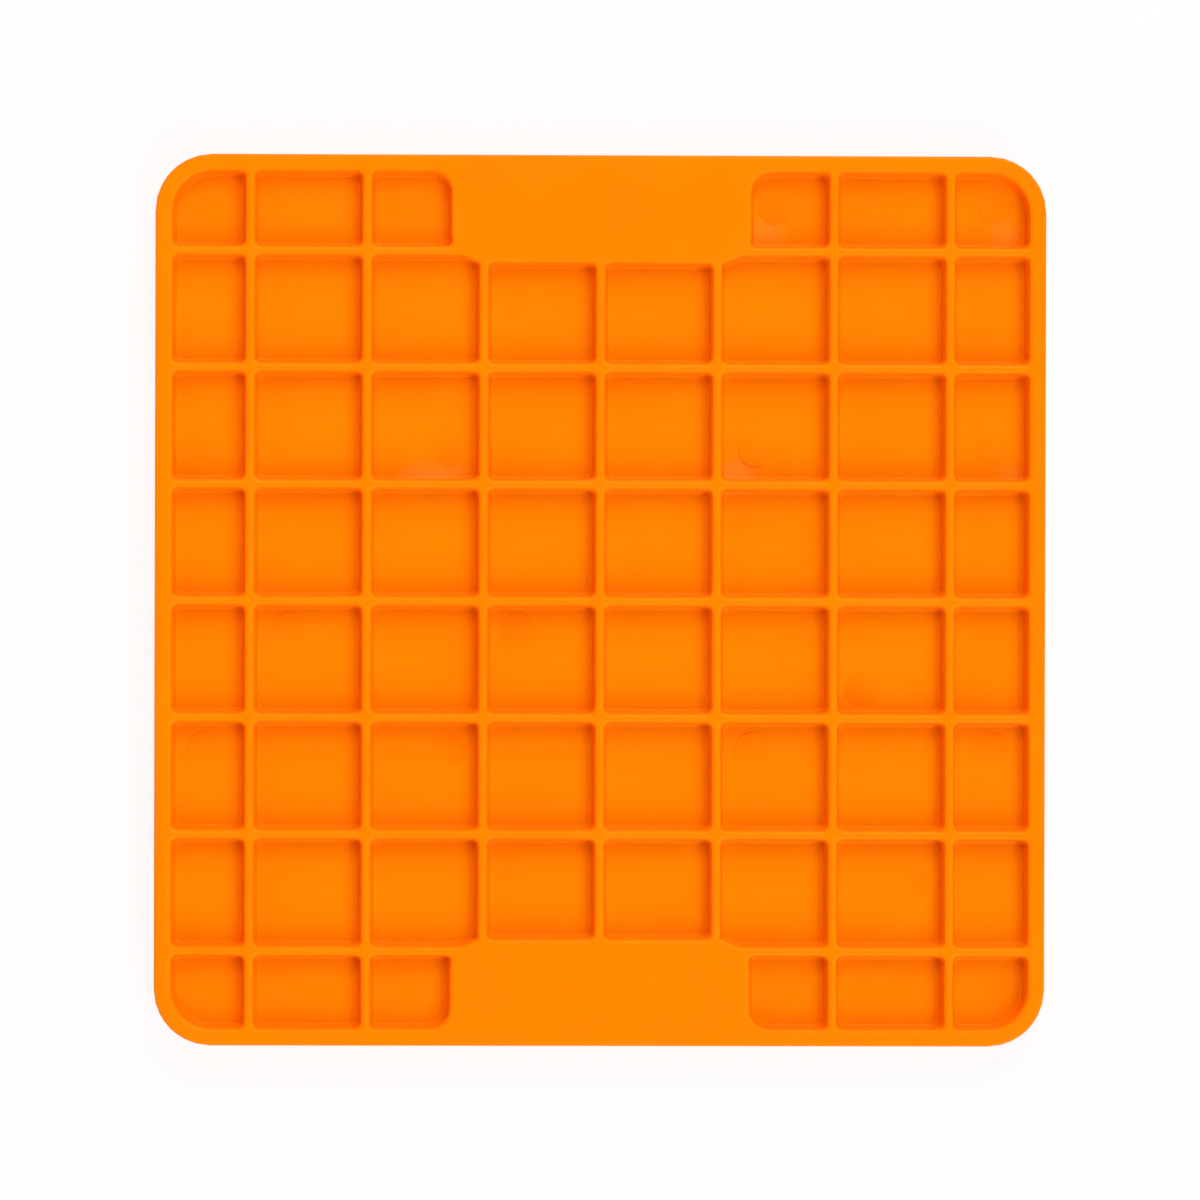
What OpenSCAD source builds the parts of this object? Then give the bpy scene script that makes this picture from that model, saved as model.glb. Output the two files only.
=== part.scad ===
// Hard-shelled lick mat, lying on its lick face with the ribbed back up.
// X runs across the mat, Y towards its top edge and Z up out of the back, in millimetres.
// The origin is at the middle of the mat, on the plane that it rests on.

/* [Outline] */
// Width of the mat across X
mat_w = 200; // [170:1:280]
// Length of the mat along Y
mat_l = 200; // [170:1:280]
// Radius of the four outer corners
corner_r = 12.8; // [11:0.1:20]

/* [Back ribs] */
// Width of the flat rim round the pockets
rim_w = 3.75; // [3:0.05:8]
// Distance between the middles of neighbouring ribs
rib_pitch = 26.2; // [20:0.1:34]
// Width of a rib
rib_w = 2.4; // [1.5:0.1:4]
// Depth of the pockets between the ribs
pocket_d = 5; // [3:0.1:9]
// Radius of the corners of a pocket
pocket_r = 1; // [0.5:0.1:2.5]
// Least width of a pocket beside the rim
pocket_min = 10; // [8:0.5:14]

/* [Blank panels] */
// Width of the blank panel at the middle of the top and bottom edges
panel_w = 67; // [45:0.5:90]
// Radius where the sides of a panel run into the rim
panel_r = 4.6; // [2:0.1:8]
// Step from the first rib to the inner edge of a panel
shelf_step = 1.6; // [0.5:0.1:4]
// Distance from the side of a panel to the foot of its sloped end
shelf_inset = 2; // [1:0.1:6]
// Length of the sloped end of a panel along X
shelf_slope = 4.2; // [1:0.1:8]

/* [Shell section] */
// Thickness of the web between the pockets and the lick pad
web_t = 2; // [1.2:0.1:4]
// Depth of the recess that holds the lick pad
recess_d = 3; // [2.5:0.1:6]
// Width of the hard lip round the lick pad
lip_w = 6; // [4.5:0.1:10]
// Undercut behind the lip that holds the edge of the pad
undercut = 1.2; // [0.6:0.1:2.5]

/* [Lick pad] */
// Thickness of the base of the pad
pad_t = 1; // [0.8:0.1:1.5]
// Gap left all round the edge of the pad
pad_gap = 0.1; // [0.05:0.05:0.4]
// Distance between neighbouring nubs in a row
nub_pitch = 9; // [7:0.5:16]
// Diameter of a nub at its foot
nub_d = 5; // [3:0.1:6]
// Diameter of a nub at its top
nub_top_d = 3.4; // [2:0.1:5]
// Distance that the nubs stop short of the face of the lip
nub_gap = 0.2; // [0:0.05:0.6]
// Least distance from a nub to the lip
nub_edge = 2; // [1:0.1:6]

/* [Hidden] */
$fn = 64;
// Overlap that carries a cut past the face it opens
cut_over = 1;

// Heights of the faces, from the lip up to the rib tops
web_z = recess_d;
floor_z = web_z + web_t;
back_z = floor_z + pocket_d;
pad_z = web_z - pad_t;
nub_h = pad_z - nub_gap;

// Half sizes of the area inside the rim
pocket_area = [mat_w / 2 - rim_w, mat_l / 2 - rim_w];

// Ribs on each side of the middle one that leave a fair pocket beside the rim
ribs_out = [for (half = pocket_area) floor((half - rib_w / 2 - pocket_min) / rib_pitch)];

// First rib inside the top and bottom edges, measured from the middle of the mat
last_rib_y = ribs_out.y * rib_pitch;

// Inner edge of a blank panel, measured from the middle of the mat
shelf_y = last_rib_y - rib_w / 2 - shelf_step;

// Opening of the lip, and of the undercut behind it
lip_size = [mat_w - 2 * lip_w, mat_l - 2 * lip_w];
lip_r = corner_r - lip_w;

// Rows of nubs, staggered as the corners of even triangles
row_pitch = nub_pitch * sqrt(3) / 2;
nub_area = [for (side = lip_size) side / 2 - nub_edge - nub_d / 2];
rows_out = floor(nub_area.y / row_pitch);

// Low and high bounds of each run of pockets along one axis
function runs(half, out) = [
    for (k = [-out - 1 : out]) [
        k == -out - 1 ? -half : k * rib_pitch + rib_w / 2,
        k == out ? half : (k + 1) * rib_pitch - rib_w / 2
    ]
];

// The corner of a square outside its rounding, with the corner at the origin
module corner_waste(r) {
    difference() {
        translate([-cut_over, -cut_over]) square(r + cut_over);
        translate([r, r]) circle(r);
    }
}

// A rectangle from low to high with round corners
module round_rect(low, high, r) {
    size = high - low;
    middle = (low + high) / 2;
    translate(middle) difference() {
        square(size, center = true);
        for (sx = [0, 1], sy = [0, 1])
            mirror([sx, 0]) mirror([0, sy]) translate(-size / 2) corner_waste(r);
    }
}

module centred_rect(size, r) {
    round_rect(-size / 2, size / 2, r);
}

// Blank panel at the top edge: it spans the rim and the first rib, and its inner edge has sloped ends
module panel_outline() {
    rib_y = last_rib_y - rib_w / 2;
    foot_x = panel_w / 2 - shelf_inset;
    translate([-panel_w / 2, rib_y]) square([panel_w, mat_l / 2 - rib_y]);
    polygon([
        [-foot_x, rib_y + cut_over],
        [-foot_x, rib_y],
        [shelf_slope - foot_x, shelf_y],
        [foot_x - shelf_slope, shelf_y],
        [foot_x, rib_y],
        [foot_x, rib_y + cut_over]
    ]);
    for (side = [0, 1])
        mirror([side, 0]) translate([panel_w / 2, pocket_area.y])
            rotate(-90) corner_waste(panel_r);
}

// Plan of all the pockets
module pocket_outlines() {
    difference() {
        intersection() {
            for (x = runs(pocket_area.x, ribs_out.x), y = runs(pocket_area.y, ribs_out.y))
                round_rect([x[0], y[0]], [x[1], y[1]], pocket_r);
            centred_rect(2 * pocket_area, corner_r - rim_w);
        }
        for (end = [0, 1])
            mirror([0, end]) panel_outline();
    }
}

// Hard moulding with the rim, ribs, panels and the undercut recess for the pad
module backing_shell() {
    color([1, 0.54, 0.02]) difference() {
        linear_extrude(back_z) centred_rect([mat_w, mat_l], corner_r);
        translate([0, 0, floor_z]) linear_extrude(pocket_d + cut_over) pocket_outlines();
        translate([0, 0, -cut_over]) linear_extrude(web_z + cut_over) centred_rect(lip_size, lip_r);
        translate([0, 0, pad_z]) linear_extrude(pad_t)
            centred_rect(lip_size + 2 * [undercut, undercut], lip_r + undercut);
    }
}

// Soft pad held in the recess by its edge, with staggered nubs on its lick face
module lick_pad() {
    grip = undercut - pad_gap;
    color([0.93, 0.42, 0.04]) {
        translate([0, 0, pad_z]) linear_extrude(pad_t)
            centred_rect(lip_size + 2 * [grip, grip], lip_r + grip);
        for (row = [-rows_out : rows_out]) {
            shift = abs(row) % 2 == 0 ? 0 : nub_pitch / 2;
            count = floor((nub_area.x - shift) / nub_pitch);
            for (k = [-count - (shift == 0 ? 0 : 1) : count])
                translate([k * nub_pitch + shift, row * row_pitch, pad_z - nub_h])
                    cylinder(h = nub_h, d1 = nub_top_d, d2 = nub_d, $fn = 24);
        }
    }
}

backing_shell();
lick_pad();
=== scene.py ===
# Hard-shelled lick mat, lying on its lick face with the ribbed back up, seen from straight above.
import math

import bpy
import numpy as np
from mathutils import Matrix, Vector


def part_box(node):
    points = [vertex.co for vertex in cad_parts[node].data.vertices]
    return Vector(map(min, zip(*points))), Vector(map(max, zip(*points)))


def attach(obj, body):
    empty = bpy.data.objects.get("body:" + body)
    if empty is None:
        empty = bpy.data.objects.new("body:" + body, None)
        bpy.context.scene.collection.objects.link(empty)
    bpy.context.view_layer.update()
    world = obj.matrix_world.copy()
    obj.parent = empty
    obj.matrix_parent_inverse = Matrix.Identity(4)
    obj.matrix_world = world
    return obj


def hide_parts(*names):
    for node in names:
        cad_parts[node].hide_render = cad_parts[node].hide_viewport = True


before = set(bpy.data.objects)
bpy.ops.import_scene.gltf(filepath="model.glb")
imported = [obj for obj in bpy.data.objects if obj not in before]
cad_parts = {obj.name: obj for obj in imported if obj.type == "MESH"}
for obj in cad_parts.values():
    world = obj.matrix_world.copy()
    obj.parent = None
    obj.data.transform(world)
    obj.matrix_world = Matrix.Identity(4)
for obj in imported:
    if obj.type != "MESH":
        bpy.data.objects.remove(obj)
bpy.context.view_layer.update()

# Sizes are in millimetres on the frame's axes, and MM takes them to metres.
MM = 0.001

# The shell's box in the frame gives the outline and the thickness of the mat.
SHELL_LOW, SHELL_HIGH = (np.array(corner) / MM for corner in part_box("backing_shell"))
MAT_W, MAT_L, MAT_T = SHELL_HIGH - SHELL_LOW
CORNER_R = 12.8

# Rim, ribs and pockets of the back. Widths are those of sharp edges, before the edges are rounded. The grid
# of ribs sits a little off the middle, with RIBS_OUT ribs on each side of its middle one.
RIM_W = 3.75
RIB_PITCH = 26.2
RIB_SHIFT = -0.16
RIB_W = 1.95
RIBS_OUT = 3
POCKET_D = 5.0
POCKET_R = 1.45
FOOT_CORNER_R = 1.3
DRAFT_DEG = 8.0
RIB_EDGE_R = 1.0
FLOOR_R = 0.35
RIM_EDGE_R = 0.7

# Blank panels at the middle of the top and bottom edges. Their inner edge is a shelf with sloped ends, and
# their sides flare a little where they meet the first rib.
PANEL_W = 67.2
PANEL_R = 4.6
SHELF_STEP = 1.7
SHELF_FOOT = 31.3
SHELF_SLOPE = 3.9
SHELF_CORNER_R = 0.5
FLARE = 0.4
FLARE_LENGTH = 2.8

# Round marks of the ejector pins on the pocket floors, each raised on one side: radius, width of the sloped
# edge, and share by which the painted shade on a mark deepens towards the raised side
MARK_R = 4.1
MARK_EDGE = 0.3
MARK_SHADE_LEAN = 0.9
# Place of each mark on the mat, bearing of its raised side in degrees from +X, height of its step, and depth
# of its painted shade
MARKS = np.array([
    (-88.5, 88.5, 270, 0.08, 0.10), (-40.6, 89.0, 290, 0.10, 0.15), (39.4, 88.8, 260, 0.25, 0.50),
    (89.0, 89.2, 280, 0.25, 0.30), (-70.0, 66.3, 167, 0.08, 0.15), (-17.5, 66.3, 157, 0.08, 0.10),
    (70.6, 66.0, 8, 0.08, 0.10), (-89.0, 35.0, 255, 0.12, 0.25), (-34.2, 34.2, 290, 0.20, 0.35),
    (34.9, 34.2, 245, 0.30, 0.35), (88.3, 35.0, 270, 0.15, 0.30), (-70.0, -6.7, 110, 0.25, 0.30),
    (-18.2, -6.7, 120, 0.20, 0.55), (59.1, -19.7, 225, 0.20, 0.60), (-89.0, -33.5, 95, 0.22, 0.30),
    (-33.8, -33.5, 50, 0.15, 0.50), (34.4, -33.5, 110, 0.25, 0.30), (88.6, -33.5, 75, 0.25, 0.40),
    (18.2, -64.6, 10, 0.05, 0.10), (70.6, -64.0, 18, 0.10, 0.30), (88.8, -89.0, 45, 0.15, 0.20),
])

# Oval patches of painted sheen beside some marks, pale gloss painted into the colour: place, half width and
# half length, and strength. PATCH_HEIGHT is how far they reach up from the floor.
PAINTED_SHEEN_PATCHES = [
    (-37.5, 28.0, 10.0, 4.0, 0.9), (30.4, 27.8, 5.5, 5.0, 1.0), (92.4, 28.2, 4.0, 3.5, 0.4),
    (37.4, 83.0, 5.5, 3.6, 0.6), (90.8, 82.8, 4.5, 3.6, 0.55),
]
PATCH_HEIGHT = 3.0

# Lip and recess of the lick face, and the soft pad in it. The nubs keep NUB_EDGE away from the lip, stop
# NUB_GAP short of its face, and are sunk by NUB_SINK into the pad.
LIP_W = 6.0
LIP_EDGE_R = 0.5
UNDERCUT = 1.2
WEB_T = 2.0
PAD_T = 1.0
PAD_GAP = 0.1
PAD_BEVEL = 0.15
NUB_PITCH = 9.0
NUB_R = 2.5
NUB_EDGE = 2.0
NUB_GAP = 0.2
NUB_SINK = 0.2
NUB_SIDES = 10
# Section of a nub from its foot to its rounded top: radius, and share of the nub's height
NUB_SECTION = np.array([(NUB_R, 0.1), (1.9, 0.75), (1.4, 0.95)])

# Mesh steps along one side of a ring, those on each half of a corner arc, and those round an edge and round
# the foot of a wall
SIDE_STEPS = 22
ARC_STEPS = 4
EDGE_STEPS = 5
FLOOR_STEPS = 4
# Share of a cell's side that the points of a corner arc take, the same at the mat's own corners, and how much
# the other steps crowd to the ends
ARC_SHARE = 0.07
OUTER_ARC_SHARE = 0.58
CROWDING = 0.6
# Width of the ring of faces that keeps a flat area flat beside a rounded edge, and of that beside a rib's
# crown
HOLD = 0.12
CROWN_HOLD = 0.04
# Distance within which points become one, and the offset that keeps round sizes clear of the rounding's steps
WELD = 0.001
WELD_OFFSET = 0.37
# Turn from face to face past which an edge is shaded sharp
SHARP_DEG = 40

# Half sizes in plan, heights above the table, and the last column and row of cells, from the sizes above
MAT_HALF = np.array([MAT_W, MAT_L]) / 2
POCKET_HALF = MAT_HALF - RIM_W
FLOOR_Z = MAT_T - POCKET_D
WEB_Z = FLOOR_Z - WEB_T
PAD_Z = WEB_Z - PAD_T
LIP_HALF = MAT_HALF - LIP_W
LIP_R = CORNER_R - LIP_W
LAST = 2 * RIBS_OUT + 1

# Sides of a box that meet at each of its corners, and the side and step of each point of a ring
CORNER_SIGNS = np.array([(1, 1), (-1, 1), (-1, -1), (1, -1)])
RING_SIDE, RING_STEP = np.divmod(np.arange(4 * SIDE_STEPS), SIDE_STEPS)


def straight_share(step):
    """How far a step lies along the straight part of a side: even steps, crowded to both ends by a sine."""
    even = np.clip((step - ARC_STEPS) / (SIDE_STEPS - 2 * ARC_STEPS), 0, 1)
    return even - CROWDING * np.sin(2 * math.pi * even) / (2 * math.pi)


def side_share(step, first, last):
    """How far a step lies along the side of a cell: an even run over the first share and over the last share,
    with the straight between."""
    start = np.minimum(step / ARC_STEPS, 1) * first
    end = np.maximum((step - SIDE_STEPS) / ARC_STEPS + 1, 0) * last
    return start + end + (1 - first - last) * straight_share(step)


def corners_of(low, high):
    """The four corners of each box, counter-clockwise from the upper right one."""
    return np.where(CORNER_SIGNS > 0, high[:, None], low[:, None])


def box_rings(low, high, arc_shares):
    """Rings round boxes: each side is a straight run from corner to corner, with the corners' arc shares."""
    share = side_share(RING_STEP, arc_shares[:, RING_SIDE], arc_shares[:, (RING_SIDE + 1) % 4])[..., None]
    corners = corners_of(low, high)
    return corners[:, RING_SIDE] * (1 - share) + corners[:, (RING_SIDE + 1) % 4] * share


def turned(degrees):
    """The direction at a bearing from +X, in plan."""
    return np.stack([np.cos(np.radians(degrees)), np.sin(np.radians(degrees))], -1)


def round_rings(low, high, radii):
    """Rings round boxes with round corners: a corner's points turn about its arc's centre, and the others
    run straight from the end of one arc to the start of the next. A side starts half way round an arc."""
    leaving = 90 * RING_SIDE + 45 + 45 * np.minimum(RING_STEP / ARC_STEPS, 1)
    arriving = 90 * RING_SIDE + 90 + 45 * np.maximum((RING_STEP - SIDE_STEPS) / ARC_STEPS + 1, 0)
    share = straight_share(RING_STEP)[:, None]
    centres = corners_of(low, high) - CORNER_SIGNS * radii[..., None]

    def on_arc(corner, degrees):
        return centres[:, corner] + radii[:, corner, None] * turned(degrees)

    return on_arc(RING_SIDE, leaving) * (1 - share) + on_arc((RING_SIDE + 1) % 4, arriving) * share


def at_height(rings, height):
    """Plan points at a height, which is one number or one for each ring."""
    heights = np.broadcast_to(np.reshape(height, (-1, 1, 1)), (*rings.shape[:-1], 1))
    return np.concatenate([rings, heights], -1)


def outline_parts(points):
    """How far points lie past the start of the mat's corner arcs, and whether they are at a corner."""
    past = np.abs(points) - (MAT_HALF - CORNER_R)
    return past, (past > 0).all(-1)[..., None]


def onto_corner_arcs(points, inset):
    """Points of the mat's sharp-cornered outline that lie past the start of a corner arc move towards the
    arc's centre until they are on it."""
    past, at_corner = outline_parts(points)
    reach = np.linalg.norm(past, axis=-1, keepdims=True)
    on_arc = np.sign(points) * (MAT_HALF - CORNER_R + past / reach * (CORNER_R - inset))
    return np.where(at_corner, on_arc, points)


def fillet(radius, turn_deg, steps):
    """A rounded edge in even turns: the run along the first face, and the drop away from it."""
    angle = np.radians(turn_deg) * np.arange(steps + 1) / steps
    return radius * np.sin(angle), radius * (1 - np.cos(angle))


def closed_stacks(rings, ends, starts=None):
    """Surfaces from stacks of rings, an array by stack, ring, point and axis. Quads run from each ring to the
    next, and triangles from the last ring to its end point and from a start point, if any, to the first."""
    stacks, depth, count, _ = rings.shape
    index = np.arange(stacks * depth * count).reshape(stacks, depth, count)
    ahead = np.roll(index, -1, axis=2)
    quads = np.stack([index[:, :-1], ahead[:, :-1], ahead[:, 1:], index[:, 1:]], -1)
    end = np.broadcast_to(index.size + np.arange(stacks)[:, None], (stacks, count))
    points = [rings.reshape(-1, 3), ends]
    triangles = [np.stack([index[:, -1], ahead[:, -1], end], -1)]
    if starts is not None:
        points.append(starts)
        triangles.append(np.stack([ahead[:, 0], index[:, 0], end + stacks], -1))
    return np.concatenate(points), quads.reshape(-1, 4), np.concatenate(triangles).reshape(-1, 3)


def flipped(surface):
    """The same surface with its faces turned over."""
    points, quads, triangles = surface
    return points, quads[:, ::-1], triangles[:, ::-1]


def joined(*surfaces):
    """Several surfaces as one, where points that round to the same place become one point."""
    starts = np.cumsum([0] + [len(points) for points, _, _ in surfaces])
    points = np.concatenate([surface[0] for surface in surfaces])
    quads = np.concatenate([surface[1] + start for surface, start in zip(surfaces, starts)])
    triangles = np.concatenate([surface[2] + start for surface, start in zip(surfaces, starts)])
    keys = np.floor(points / WELD + WELD_OFFSET).astype(np.int64)
    _, first, place = np.unique(keys, axis=0, return_index=True, return_inverse=True)
    place = place.ravel()
    return points[first], place[quads], place[triangles]


def piece_from(name, surface, material):
    """A mesh object at the origin from a surface in millimetres, smooth but for its sharp edges."""
    points, quads, triangles = surface
    mesh = bpy.data.meshes.new(name)
    mesh.from_pydata((points * MM).tolist(), [], quads.tolist() + triangles.tolist())
    mesh.polygons.foreach_set("use_smooth", np.ones(len(mesh.polygons), bool))
    mesh.set_sharp_from_angle(angle=math.radians(SHARP_DEG))
    mesh.materials.append(material)
    mesh.update()
    piece = bpy.data.objects.new(name, mesh)
    bpy.context.scene.collection.objects.link(piece)
    return piece


def cell_lines(half):
    """Edges of the cells along one axis: the two ends of the flat back, and the middle of each rib."""
    ribs = RIB_SHIFT + RIB_PITCH * np.arange(-RIBS_OUT, RIBS_OUT + 1)
    return np.concatenate([[-half], ribs, [half]])


def pocket_runs(half):
    """Low and high end of each run of pockets along one axis, between the rim and the ribs."""
    lines = cell_lines(half)
    rib_half = np.concatenate([[0], np.full(LAST, RIB_W / 2), [0]])
    return (lines + rib_half)[:-1], (lines - rib_half)[1:]


def back_cells():
    """The cells of the back by column and row: each one's own box and arc shares, its pocket's box and corner
    radii, and whether the cell is blank, its pocket is beside a panel, or its pocket is beside a shelf."""
    place = np.stack(np.meshgrid(np.arange(LAST + 1), np.arange(LAST + 1), indexing="ij"), -1).reshape(-1, 2)
    column, row = place.T
    lines = np.stack([cell_lines(half) for half in MAT_HALF - RIM_EDGE_R], -1)
    runs = [pocket_runs(half) for half in POCKET_HALF]
    low = np.stack([runs[0][0][column], runs[1][0][row]], -1)
    high = np.stack([runs[0][1][column], runs[1][1][row]], -1)
    middle_column = np.isin(column, (RIBS_OUT, RIBS_OUT + 1))
    next_column = np.isin(column, (RIBS_OUT - 1, RIBS_OUT + 2))
    end_row = np.isin(row, (0, LAST))
    next_row = np.isin(row, (1, LAST - 1))

    high[end_row & (column == RIBS_OUT - 1), 0] = -PANEL_W / 2
    low[end_row & (column == RIBS_OUT + 2), 0] = PANEL_W / 2
    high[middle_column & (row == LAST - 1), 1] -= SHELF_STEP
    low[middle_column & (row == 1), 1] += SHELF_STEP

    outward = np.where(place > RIBS_OUT, 1, -1)[:, None]
    outer_corner = (CORNER_SIGNS == outward).all(-1)
    panel_corner = (CORNER_SIGNS == outward * np.array([-1, 1])).all(-1)
    radii = np.full(outer_corner.shape, POCKET_R)
    mat_corner = (np.isin(column, (0, LAST)) & end_row)[:, None] & outer_corner
    radii[mat_corner] = CORNER_R - RIM_W
    radii[(next_column & end_row)[:, None] & panel_corner] = PANEL_R
    radii[(next_column & next_row)[:, None] & panel_corner] = SHELF_CORNER_R
    arc_shares = np.where(mat_corner, OUTER_ARC_SHARE, ARC_SHARE)
    cell_low, cell_high = np.take_along_axis(lines, place, 0), np.take_along_axis(lines, place + 1, 0)
    blank, beside_panel, beside_shelf = middle_column & end_row, next_column & end_row, next_column & next_row
    return cell_low, cell_high, arc_shares, low, high, radii, blank, beside_panel, beside_shelf


def panel_corners(rings, low, high, beside_panel, beside_shelf):
    """Pockets next to a panel: beside it, the side wall flares towards the panel, most at the first rib.
    Below it, the end wall leans in along the slope of the shelf, and the lean fades towards the pocket's
    middle."""
    middle = ((low + high) / 2)[:, None]
    out = np.sign(middle)
    share = np.clip((rings - middle) * out / ((high - low)[:, None] / 2), -1, 1)
    from_rib = (rings - np.where(out > 0, low[:, None], high[:, None]))[..., 1] * out[..., 1]
    flare = np.clip(1 - from_rib / FLARE_LENGTH, 0, 1) * np.maximum(-share[..., 0], 0)
    lean = np.clip((SHELF_FOOT - np.abs(rings[..., 0])) / SHELF_SLOPE, 0, 1)
    lean = lean * np.maximum(share[..., 1], 0)
    shift = np.stack([FLARE * flare * beside_panel[:, None], SHELF_STEP * lean * beside_shelf[:, None]], -1)
    return rings - shift * out


def pocket_profile():
    """Section of a pocket as inset from its sharp outline and depth: a rounded edge, a drafted wall and a
    rounded foot, with a narrow flat ring on each side."""
    turn = 90 - DRAFT_DEG
    tangent = math.tan(math.radians(turn / 2))
    run, drop = fillet(RIB_EDGE_R, turn, EDGE_STEPS)
    edge = np.stack([run - RIB_EDGE_R * tangent, drop], -1)
    run, drop = fillet(FLOOR_R, turn, FLOOR_STEPS)
    foot_end = POCKET_D * math.tan(math.radians(DRAFT_DEG)) + FLOOR_R * tangent
    foot = np.stack([foot_end - run, POCKET_D - drop], -1)[::-1]
    return np.concatenate([[[edge[0, 0] - CROWN_HOLD, 0]], edge, foot, [[foot_end + HOLD, POCKET_D]]])


def mark_rings(marks):
    """Tilted discs on the floor: a flat ring round the foot, the sloped edge, and a ring inside it. A disc's
    face rises evenly towards its bearing, from the floor on one side to the full step on the other."""
    circle = turned(45 + 90 * (RING_SIDE + RING_STEP / SIDE_STEPS))
    toward = turned(marks[:, 2]) @ circle.T
    inner = MARK_R - MARK_EDGE
    rings = []
    for radius, share in [(MARK_R + HOLD, 0), (MARK_R, 0), (inner, 1), (inner - HOLD, 1)]:
        rise = share * marks[:, 3, None] * (1 + radius / MARK_R * toward) / 2
        rings.append(np.concatenate([marks[:, None, :2] + radius * circle, FLOOR_Z + rise[..., None]], -1))
    return rings


def back_surface():
    """The back as one ring stack for each pocket: the cell's box, the pocket's section carried round its
    outline and, where the pocket has one, the ejector mark, down to a point at the middle of the mark or of
    the floor. Blank cells are flat fans."""
    cell_low, cell_high, arc_shares, low, high, radii, blank, beside_panel, beside_shelf = back_cells()
    cells = at_height(onto_corner_arcs(box_rings(cell_low, cell_high, arc_shares), RIM_EDGE_R), MAT_T)
    cell_middle = at_height((cell_low + cell_high)[:, None] / 2, MAT_T)[:, 0]
    panels = closed_stacks(cells[blank][:, None], cell_middle[blank])

    whole = ~blank
    low, high, radii = low[whole], high[whole], radii[whole]
    rings = [cells[whole]]
    least = np.minimum(radii, FOOT_CORNER_R)
    for inset, depth in pocket_profile():
        ring = round_rings(low + inset, high - inset, np.maximum(radii - inset, least))
        ring = panel_corners(ring, low, high, beside_panel[whole], beside_shelf[whole])
        rings.append(at_height(ring, MAT_T - depth))
    places = MARKS[:, :2]
    inside = ((places > low[:, None]) & (places < high[:, None])).all(-1)
    marked = inside.any(1)
    marks = MARKS[inside[marked].argmax(1)]
    marked_rings = [ring[marked] for ring in rings] + mark_rings(marks)
    plain_rings = [ring[~marked] for ring in rings]
    mark_tops = at_height(marks[:, None, :2], FLOOR_Z + marks[:, 3] / 2)[:, 0]
    floors = at_height((low + high)[~marked, None] / 2, FLOOR_Z)[:, 0]
    return joined(panels, closed_stacks(np.stack(marked_rings, 1), mark_tops),
                  closed_stacks(np.stack(plain_rings, 1), floors))


def rim_outline():
    """The outer edge of the flat back as one ring with the same points as the cells along it, and the
    direction square to it at each point."""
    half = MAT_HALF - RIM_EDGE_R
    first, last = np.full((2, LAST + 1, 1), ARC_SHARE)
    first[0] = last[-1] = OUTER_ARC_SHARE
    share = side_share(np.arange(SIDE_STEPS), first, last)
    to_right, to_top = (cell_lines(end) for end in half)
    left, down, right, up = ((line[:-1, None] * (1 - share) + line[1:, None] * share).ravel()
                             for line in (to_right[::-1], to_top[::-1], to_right, to_top))
    width, length = np.full(left.shape, half[0]), np.full(left.shape, half[1])
    sides = [(left, length), (-width, down), (right, -length), (width, up)]
    ring = np.concatenate([np.stack(side, -1) for side in sides])
    square = np.repeat([(0, 1), (-1, 0), (0, -1), (1, 0)], len(left), axis=0)
    past, at_corner = outline_parts(ring)
    radial = np.sign(ring) * past / np.linalg.norm(past, axis=-1, keepdims=True)
    return onto_corner_arcs(ring, RIM_EDGE_R), np.where(at_corner, radial, square)


def rim_profile():
    """Section of the rim from the flat back outwards, as inset from the mat's outline and height: rounded
    edge, side, rounded lip, face of the lip, and wall and undercut of the recess."""
    run, drop = fillet(RIM_EDGE_R, 90, EDGE_STEPS + 1)
    top = np.stack([RIM_EDGE_R - run, MAT_T - drop], -1)
    side = [(0, MAT_T - RIM_EDGE_R - HOLD), (0, RIM_EDGE_R + HOLD)]
    bottom = np.stack([RIM_EDGE_R - run, drop], -1)[::-1]
    face = [(RIM_EDGE_R + HOLD, 0), (LIP_W - LIP_EDGE_R - HOLD, 0)]
    run, drop = fillet(LIP_EDGE_R, 90, EDGE_STEPS)
    lip = np.stack([LIP_W - LIP_EDGE_R + run, drop], -1)
    recess = [(LIP_W, PAD_Z), (LIP_W - UNDERCUT, PAD_Z), (LIP_W - UNDERCUT, WEB_Z)]
    return np.concatenate([top, side, bottom, face, lip, recess])


def side_surface():
    """The rim's section carried round the mat's outline, closed by the web's underside."""
    outline, square = rim_outline()
    inset, height = rim_profile().T
    rings = at_height(outline + square * (RIM_EDGE_R - inset)[:, None, None], height)
    return flipped(closed_stacks(rings[None], np.array([[0, 0, WEB_Z]])))


def painted_mark_shades(points):
    """How deep the painted shade is at each point: on the face of an ejector mark it deepens evenly towards
    the raised side, and elsewhere it is nothing."""
    from_marks = points[:, None, :2] - MARKS[:, :2]
    gaps = np.linalg.norm(from_marks, axis=-1)
    nearest = gaps.argmin(1)
    _, _, bearing, step, shade_depth = MARKS[nearest].T
    rise = points[:, 2] - FLOOR_Z
    on_face = (gaps.min(1) < MARK_R - MARK_EDGE + WELD) & (rise > 0) & (rise < step)
    toward = (np.take_along_axis(from_marks, nearest[:, None, None], 1)[:, 0] * turned(bearing)).sum(-1)
    return np.where(on_face, shade_depth * (1 + MARK_SHADE_LEAN * toward / MARK_R), 0)


def backing_shell(material):
    """Hard moulding: the back's surface and the side's, welded along the edge of the flat back."""
    surface = joined(back_surface(), side_surface())
    piece = piece_from("ribbed_backing_shell", surface, material)
    # Painted shade on the ejector marks' faces, kept on the points for the material
    painted_shades = piece.data.attributes.new("painted_mark_shade", "FLOAT", "POINT")
    painted_shades.data.foreach_set("value", painted_mark_shades(surface[0]))
    return piece


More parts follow.
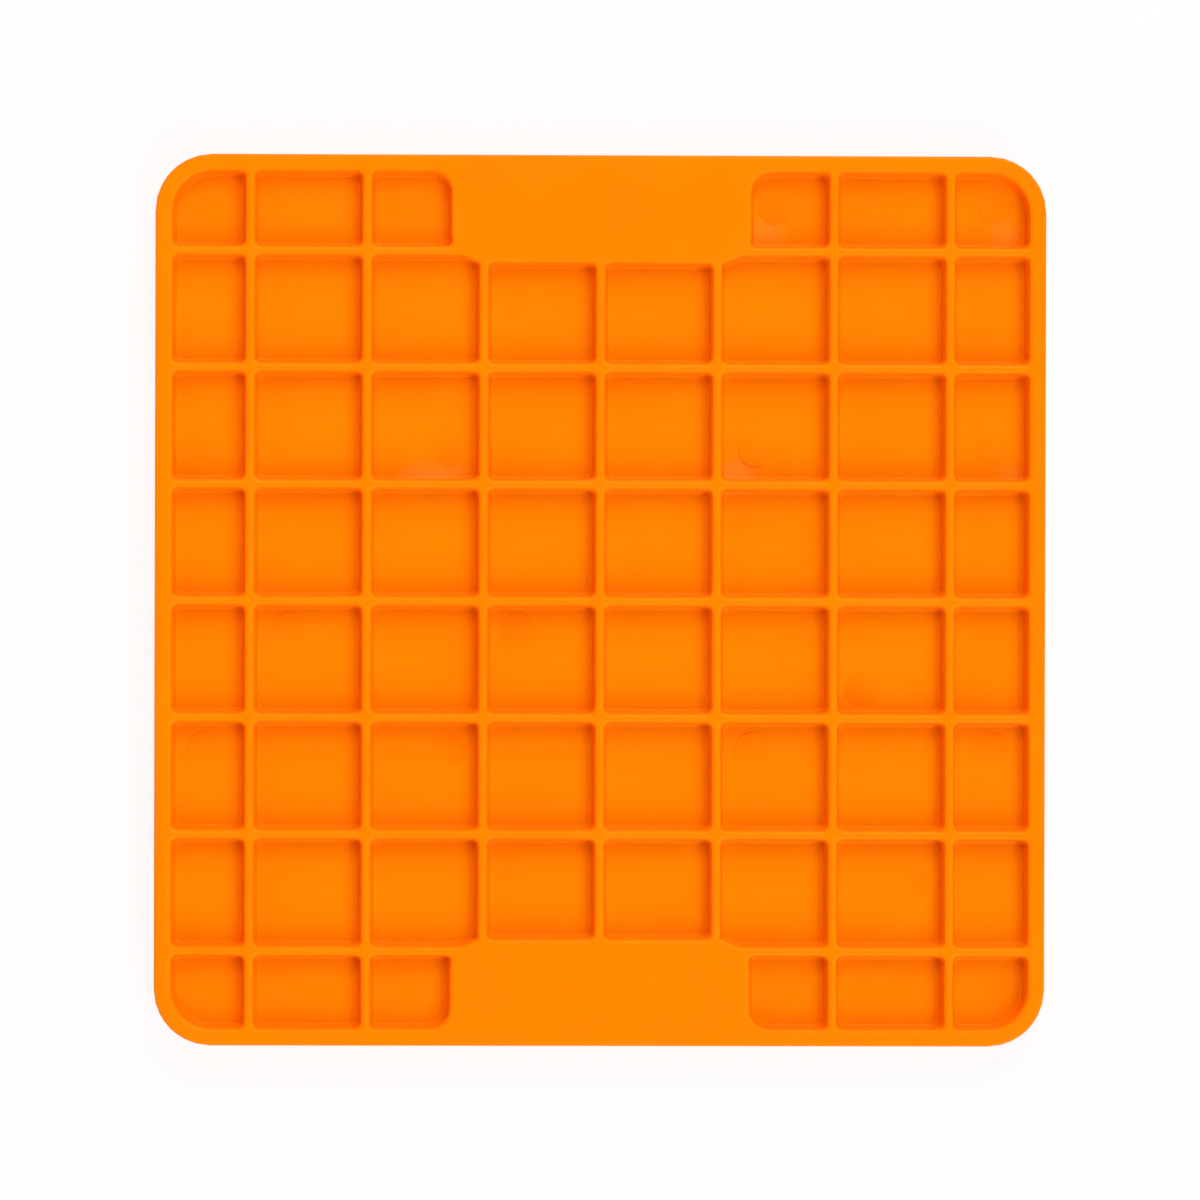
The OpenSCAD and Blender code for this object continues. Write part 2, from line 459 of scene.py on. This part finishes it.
def nub_places():
    """Middles of the nubs in staggered rows that clear the lip. Even rows have a nub in the middle."""
    area = LIP_HALF - NUB_EDGE - NUB_R
    row_pitch = NUB_PITCH * math.sqrt(3) / 2
    rows, steps = area[1] // row_pitch, area[0] // NUB_PITCH
    row, step = np.meshgrid(np.arange(-rows, rows + 1), np.arange(-steps - 1, steps + 1), indexing="ij")
    places = np.stack([(step + row % 2 / 2) * NUB_PITCH, row * row_pitch], -1).reshape(-1, 2)
    return places[(np.abs(places) <= area).all(-1)]


def lick_pad(material):
    """Soft pad: a thin plate with bevelled edges, and on its lick face nubs turned from one section, each
    sunk a little into the plate."""
    half = (LIP_HALF + UNDERCUT - PAD_GAP)[None]
    radii = np.full((1, 4), LIP_R + UNDERCUT - PAD_GAP)
    section = [(PAD_BEVEL, WEB_Z), (0, WEB_Z - PAD_BEVEL), (0, PAD_Z + PAD_BEVEL), (PAD_BEVEL, PAD_Z)]
    rings = [at_height(round_rings(-half + inset, half - inset, radii - inset), z) for inset, z in section]
    plate = closed_stacks(np.stack(rings, 1), np.array([[0, 0, PAD_Z]]), np.array([[0, 0, WEB_Z]]))

    height = PAD_Z - NUB_GAP
    radius = np.append(NUB_R, NUB_SECTION[:, 0])
    drop = np.append(-NUB_SINK, NUB_SECTION[:, 1] * height)
    circle = turned(360 * np.arange(NUB_SIDES) / NUB_SIDES)
    nub = at_height(radius[:, None, None] * circle, PAD_Z - drop)
    places = at_height(nub_places()[:, None], 0)
    tips, feet = places[:, 0] + [0, 0, PAD_Z - height], places[:, 0] + [0, 0, PAD_Z + NUB_SINK]
    nubs = closed_stacks(nub + places[:, None], tips, feet)
    return piece_from("nubbed_lick_pad", flipped(joined(plate, nubs)), material)


# Usual reach of the values of noise
NOISE_REACH = (0.3, 0.7)


def new_material(name):
    """A node material, with its nodes, its links and its surface shader."""
    material = bpy.data.materials.new(name)
    material.use_nodes = True
    nodes, links = material.node_tree.nodes, material.node_tree.links
    return material, nodes, links, nodes["Principled BSDF"]


def noise_on_object(nodes, links, scale, detail):
    """Noise on the piece's own coordinates, with scale in waves to the metre."""
    place = nodes.new("ShaderNodeTexCoord")
    noise = nodes.new("ShaderNodeTexNoise")
    noise.inputs["Scale"].default_value = scale
    noise.inputs["Detail"].default_value = detail
    links.new(place.outputs["Object"], noise.inputs["Vector"])
    return noise.outputs["Fac"]


def spread(nodes, links, source, low, high, reach=NOISE_REACH):
    """Maps the reach of a value, by default the usual one of noise, to a range."""
    ranged = nodes.new("ShaderNodeMapRange")
    for socket, value in zip(("From Min", "From Max", "To Min", "To Max"), (*reach, low, high)):
        ranged.inputs[socket].default_value = value
    links.new(source, ranged.inputs["Value"])
    return ranged.outputs["Result"]


def toned(nodes, links, factor, first, second):
    """A colour that goes from one to another by a factor, where the first may be plain or worked out."""
    mix = nodes.new("ShaderNodeMix")
    mix.data_type = "RGBA"
    if isinstance(first, tuple):
        mix.inputs["A"].default_value = (*first, 1)
    else:
        links.new(first, mix.inputs["A"])
    mix.inputs["B"].default_value = (*second, 1)
    links.new(factor, mix.inputs["Factor"])
    return mix.outputs["Result"]


def worked_out(nodes, links, operation, first, second):
    """Two values worked out as one, where the second may be a plain number."""
    math_node = nodes.new("ShaderNodeMath")
    math_node.operation = operation
    links.new(first, math_node.inputs[0])
    if isinstance(second, float):
        math_node.inputs[1].default_value = second
    else:
        links.new(second, math_node.inputs[1])
    return math_node.outputs["Value"]


def painted_sheen_patches(nodes, links):
    """How strong the painted sheen is: each patch fades evenly from its middle to its edge, and the strongest
    counts.
    """
    place = nodes.new("ShaderNodeTexCoord")
    strongest_sheen = None
    for x, y, half_width, half_length, strength in PAINTED_SHEEN_PATCHES:
        oval = nodes.new("ShaderNodeMapping")
        oval.vector_type = "TEXTURE"
        oval.inputs["Location"].default_value = [v * MM for v in (x, y, FLOOR_Z)]
        oval.inputs["Scale"].default_value = [v * MM for v in (half_width, half_length, PATCH_HEIGHT)]
        fade = nodes.new("ShaderNodeTexGradient")
        fade.gradient_type = "SPHERICAL"
        links.new(place.outputs["Object"], oval.inputs["Vector"])
        links.new(oval.outputs["Vector"], fade.inputs["Vector"])
        patch = worked_out(nodes, links, "MULTIPLY", fade.outputs["Fac"], strength)
        strongest_sheen = patch if strongest_sheen is None else worked_out(nodes, links, "MAXIMUM", strongest_sheen, patch)
    return strongest_sheen


def moulded_bump(nodes, links, source, strength, distance, under=None):
    """A bump of a height in metres, on top of another one if given."""
    bump = nodes.new("ShaderNodeBump")
    bump.inputs["Strength"].default_value = strength
    bump.inputs["Distance"].default_value = distance
    links.new(source, bump.inputs["Height"])
    if under is not None:
        links.new(under, bump.inputs["Normal"])
    return bump.outputs["Normal"]


# Hard plastic: colours of the mottle, the painted sheen patches, the painted shade on the marks and the
# gleam, range of roughness, and how much it mirrors
PLASTIC_COLOURS = (1.0, 0.227, 0.0003), (1.0, 0.242, 0.0005)
PAINTED_SHEEN_COLOUR = (1.0, 0.298, 0.028)
MARK_SHADE_COLOUR = (1.0, 0.193, 0.0003)
GLEAM_COLOUR = (1.0, 0.55, 0.04)
PLASTIC_ROUGHNESS = (0.30, 0.38)
PLASTIC_IOR = 1.49
PLASTIC_SPECULAR = 0.4
# Noise of each kind as waves to the metre and detail, and bumps as strength and height in metres
MOTTLE_NOISE = (45, 2)
GLOSS_NOISE = (160, 3)
RIPPLE_NOISE, RIPPLE_BUMP = (70, 1), (0.05, 0.0006)
GRAIN_NOISE, GRAIN_BUMP = (3200, 2), (0.06, 0.00005)


def orange_plastic():
    """Semi-gloss orange polypropylene: a slight flow mottle in colour, patches of painted sheen, painted
    shade on the ejector marks, gloss that varies with the tool's finish, a fine grain and slow ripples."""
    material, nodes, links, shader = new_material("orange_polypropylene")
    mottle = spread(nodes, links, noise_on_object(nodes, links, *MOTTLE_NOISE), 0, 1)
    colour = toned(nodes, links, mottle, *PLASTIC_COLOURS)
    # Painted sheen: pale patches beside some marks lighten the colour
    colour = toned(nodes, links, painted_sheen_patches(nodes, links), colour, PAINTED_SHEEN_COLOUR)
    # Painted shade: the ejector marks' faces darken, most towards each raised side
    mark = nodes.new("ShaderNodeAttribute")
    mark.attribute_name = "painted_mark_shade"
    colour = toned(nodes, links, mark.outputs["Fac"], colour, MARK_SHADE_COLOUR)
    links.new(colour, shader.inputs["Base Color"])
    gloss = spread(nodes, links, noise_on_object(nodes, links, *GLOSS_NOISE), *PLASTIC_ROUGHNESS)
    links.new(gloss, shader.inputs["Roughness"])
    shader.inputs["IOR"].default_value = PLASTIC_IOR
    shader.inputs["Specular IOR Level"].default_value = PLASTIC_SPECULAR
    shader.inputs["Specular Tint"].default_value = (*GLEAM_COLOUR, 1)
    ripple = moulded_bump(nodes, links, noise_on_object(nodes, links, *RIPPLE_NOISE), *RIPPLE_BUMP)
    grain = moulded_bump(nodes, links, noise_on_object(nodes, links, *GRAIN_NOISE), *GRAIN_BUMP, ripple)
    links.new(grain, shader.inputs["Normal"])
    return material


# Soft rubber: colours of the bloom, range of roughness, and noise and bump as for the plastic
RUBBER_COLOURS = (0.80, 0.16, 0.004), (0.84, 0.18, 0.006)
RUBBER_ROUGHNESS = (0.62, 0.74)
RUBBER_IOR = 1.5
BLOOM_NOISE = (90, 3)
DULL_NOISE = (400, 2)
SKIN_NOISE, SKIN_BUMP = (2400, 2), (0.12, 0.00006)


def orange_rubber():
    """Soft matt rubber: a deeper orange with a dull, even bloom and a fine grain."""
    material, nodes, links, shader = new_material("orange_pad_rubber")
    bloom = spread(nodes, links, noise_on_object(nodes, links, *BLOOM_NOISE), 0, 1)
    links.new(toned(nodes, links, bloom, *RUBBER_COLOURS), shader.inputs["Base Color"])
    dull = spread(nodes, links, noise_on_object(nodes, links, *DULL_NOISE), *RUBBER_ROUGHNESS)
    links.new(dull, shader.inputs["Roughness"])
    shader.inputs["IOR"].default_value = RUBBER_IOR
    skin = moulded_bump(nodes, links, noise_on_object(nodes, links, *SKIN_NOISE), *SKIN_BUMP)
    links.new(skin, shader.inputs["Normal"])
    return material


# Camera about a metre above the mat, a little off its middle and turned as in the photograph
CAMERA_PLACE = (-14.45, 3.43, 1100.0)
CAMERA_TURN_DEG = (-0.1735, -0.7532, 0.1559)
CAMERA_LENS = 145.756
CAMERA_SENSOR = 36.0


def overhead_camera():
    """Looks straight down, with the mat's top edge up in the picture."""
    data = bpy.data.cameras.new("overhead_camera")
    data.lens = CAMERA_LENS
    data.sensor_width = CAMERA_SENSOR
    camera = bpy.data.objects.new("overhead_camera", data)
    camera.location = [v * MM for v in CAMERA_PLACE]
    camera.rotation_euler = [math.radians(v) for v in CAMERA_TURN_DEG]
    bpy.context.scene.collection.objects.link(camera)
    bpy.context.scene.camera = camera


# Soft boxes round the mat: name, azimuth from +X and height above the floor in degrees, distance and width in
# metres, brightness of the box's face, and colour
WHITE = (1.0, 1.0, 1.0)
WARM = (1.0, 0.4, 0.12)
SOFT_BOXES = [
    ("top_box", 72, 36, 2.8, 1.6, 4.9, WHITE),
    ("high_top_box", 95, 60, 1.4, 0.6, 3.8, WHITE),
    ("bottom_box", 292, 36, 2.8, 1.6, 4.7, WHITE),
    ("high_bottom_box", 255, 60, 1.4, 0.5, 2.0, WHITE),
    ("high_right_box", 330, 57, 2.8, 1.2, 3.6, WHITE),
    ("upper_left_fill", 155, 35, 0.6, 0.257, 2.2, WARM),
    ("lower_left_fill", 205, 30, 0.6, 0.257, 1.7, WARM),
]


def soft_box(name, azimuth, height, distance, width, brightness, colour):
    """A square area lamp on a sphere round the mat, turned to the mat's middle. Its power is its
    brightness times pi times its area."""
    azimuth, height = math.radians(azimuth), math.radians(height)
    toward = (math.cos(azimuth) * math.cos(height), math.sin(azimuth) * math.cos(height), math.sin(height))
    data = bpy.data.lights.new(name, "AREA")
    data.size = width
    data.energy = brightness * math.pi * width ** 2
    data.color = colour
    lamp = bpy.data.objects.new(name, data)
    lamp.location = distance * np.array(toward)
    lamp.rotation_euler = (math.pi / 2 - height, 0, azimuth + math.pi / 2)
    bpy.context.scene.collection.objects.link(lamp)


# Grey of the room by the height of the direction: white up to the first height, and dim from the second
ROOM_GREYS = [(0.1, 1.0), (0.3, 0.04)]


def studio_world():
    """A dim room with a white band along the horizon, by the height of the direction."""
    world = bpy.data.worlds.new("studio_world")
    world.use_nodes = True
    nodes, links = world.node_tree.nodes, world.node_tree.links
    place = nodes.new("ShaderNodeTexCoord")
    split = nodes.new("ShaderNodeSeparateXYZ")
    ramp = nodes.new("ShaderNodeValToRGB")
    for element, (height, grey) in zip(ramp.color_ramp.elements, ROOM_GREYS):
        element.position = height
        element.color = (grey, grey, grey, 1)
    links.new(place.outputs["Generated"], split.inputs["Vector"])
    links.new(split.outputs["Z"], ramp.inputs["Fac"])
    links.new(ramp.outputs["Color"], nodes["Background"].inputs["Color"])
    bpy.context.scene.world = world


# Half width of the table top and its own grey, then the share of even white that is seen in it beside the
# mat, and the distances from the mat's middle between which that share becomes all, in metres
FLOOR_HALF = 6.0
FLOOR_GREY = 0.9
FLOOR_GLOW = 0.88
FLOOR_FADE = (0.3, 2.0)


def white_floor():
    """White table top. Rays that look at it see mostly an even white, and the rest is its own light and
    the mat's shadow. Away from the mat they see the even white alone."""
    material, nodes, links, shader = new_material("white_floor")
    nodes.remove(shader)
    plain = nodes.new("ShaderNodeBsdfDiffuse")
    plain.inputs["Color"].default_value = (FLOOR_GREY, FLOOR_GREY, FLOOR_GREY, 1)
    glow = nodes.new("ShaderNodeEmission")
    path = nodes.new("ShaderNodeLightPath").outputs
    looks = worked_out(nodes, links, "MAXIMUM", path["Is Camera Ray"], path["Is Glossy Ray"])
    looks = worked_out(nodes, links, "MAXIMUM", looks, path["Is Transmission Ray"])
    place = nodes.new("ShaderNodeTexCoord")
    distance = nodes.new("ShaderNodeVectorMath")
    distance.operation = "LENGTH"
    links.new(place.outputs["Object"], distance.inputs[0])
    even = spread(nodes, links, distance.outputs["Value"], FLOOR_GLOW, 1, FLOOR_FADE)
    mix = nodes.new("ShaderNodeMixShader")
    links.new(worked_out(nodes, links, "MULTIPLY", looks, even), mix.inputs["Fac"])
    links.new(plain.outputs["BSDF"], mix.inputs[1])
    links.new(glow.outputs["Emission"], mix.inputs[2])
    links.new(mix.outputs["Shader"], nodes["Material Output"].inputs["Surface"])
    mesh = bpy.data.meshes.new("white_floor")
    corners = at_height(CORNER_SIGNS[None] * FLOOR_HALF, 0)[0]
    mesh.from_pydata(corners.tolist(), [], [(0, 1, 2, 3)])
    mesh.materials.append(material)
    floor = bpy.data.objects.new("white_floor", mesh)
    bpy.context.scene.collection.objects.link(floor)


bpy.context.scene.view_settings.view_transform = "Standard"
overhead_camera()
studio_world()
for box in SOFT_BOXES:
    soft_box(*box)
white_floor()

shell = backing_shell(orange_plastic())
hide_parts("backing_shell")
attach(shell, "root")

pad = lick_pad(orange_rubber())
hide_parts("lick_pad")
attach(pad, "root")
